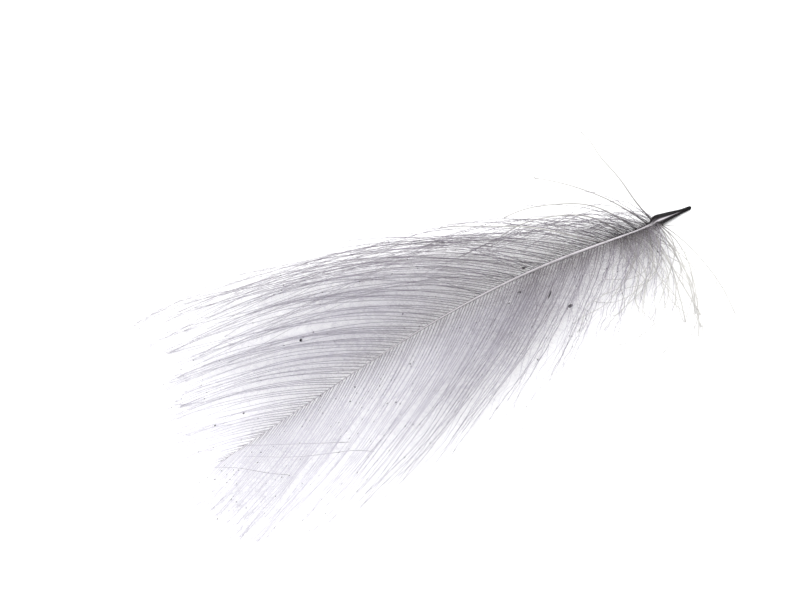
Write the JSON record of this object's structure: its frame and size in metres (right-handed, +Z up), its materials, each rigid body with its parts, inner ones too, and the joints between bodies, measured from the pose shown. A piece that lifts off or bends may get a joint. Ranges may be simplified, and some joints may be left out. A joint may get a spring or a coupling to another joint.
{
  "type": "cul de canard feather",
  "caption": "Small downy duck feather with a short dark quill, a thin curved shaft and two open vanes of soft, fine barbs.",
  "frame": {"origin": "middle of the bottom of the feather's box, on the surface that the feather lies on", "axes": "+X runs along the feather from the tips of the vanes to the end of the quill, +Y points to the wider vane, +Z is up from the surface"},
  "size_m": [0.0476, 0.026, 0.0033],
  "materials": {
    "feather": "matt grey down on a satin, near-black horn quill"
  },
  "bodies": {
    "root": {"feather": "feather"}
  },
  "joints": []
}
